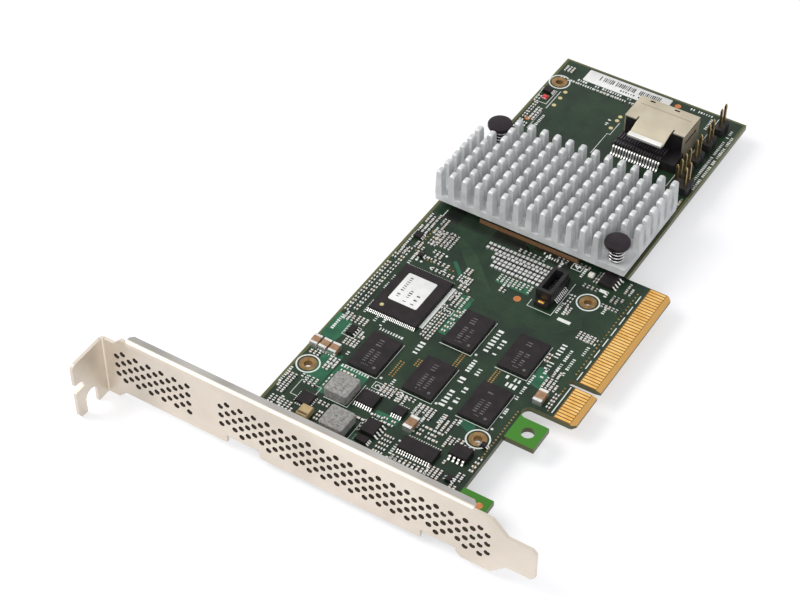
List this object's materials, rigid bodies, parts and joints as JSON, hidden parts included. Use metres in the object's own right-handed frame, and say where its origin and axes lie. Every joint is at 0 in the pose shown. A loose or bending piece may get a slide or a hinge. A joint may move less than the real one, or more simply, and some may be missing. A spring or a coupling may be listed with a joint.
{
  "type": "raid controller card",
  "caption": "Low-profile storage controller card on a full-height perforated bracket, with pin-fin heatsink, memory chips, an internal storage connector and pin headers.",
  "frame": {"origin": "outer face of the bracket, level with the tips of the edge contacts and with the solder side of the board", "axes": "+X along the board away from the bracket, +Y from the contact tips to the top edge, +Z out of the component side"},
  "size_m": [0.179, 0.1201, 0.0206],
  "materials": {
    "board": "satin",
    "gold": "satin",
    "bracket": "satin",
    "screw": "satin",
    "package": "satin",
    "die": "polished",
    "paste": "matt",
    "heatsink": "satin",
    "push_pin": "satin",
    "spring": "satin",
    "chip": "matt",
    "label": "matt",
    "moulding": "satin",
    "cage": "satin",
    "tin": "satin",
    "ferrite": "matt",
    "tantalum": "satin",
    "ceramic": "satin",
    "led": "satin"
  },
  "bodies": {
    "root": {"circuit_board": "board", "edge_contacts": "gold", "bracket": "bracket", "bracket_screws": "screw", "processor_package": "package", "processor_die": "die", "thermal_paste": "paste", "heatsink": "heatsink", "push_pin_1": "push_pin", "push_pin_2": "push_pin", "push_pin_spring_1": "spring", "push_pin_spring_2": "spring", "memory_chip_1": "chip", "memory_chip_2": "chip", "memory_chip_3": "chip", "memory_chip_4": "chip", "memory_chip_5": "chip", "flash_chip": "chip", "flash_chip_label": "label", "board_label": "label", "socket_body": "moulding", "socket_cage": "cage", "socket_tails": "tin", "cable_socket": "moulding", "status_header": "moulding", "jumper_headers": "moulding", "header_pins": "gold", "power_inductor_1": "ferrite", "power_inductor_2": "ferrite", "tantalum_capacitor": "tantalum", "ceramic_capacitors": "ceramic", "bulk_capacitors": "ceramic", "regulator_chip": "chip", "driver_chip": "chip", "monitor_chip": "chip", "serial_memory_1": "chip", "serial_memory_2": "chip", "serial_memory_3": "chip", "expander_chip": "chip", "status_led_1": "led", "status_led_2": "led", "resistor_networks": "ceramic"}
  },
  "joints": []
}
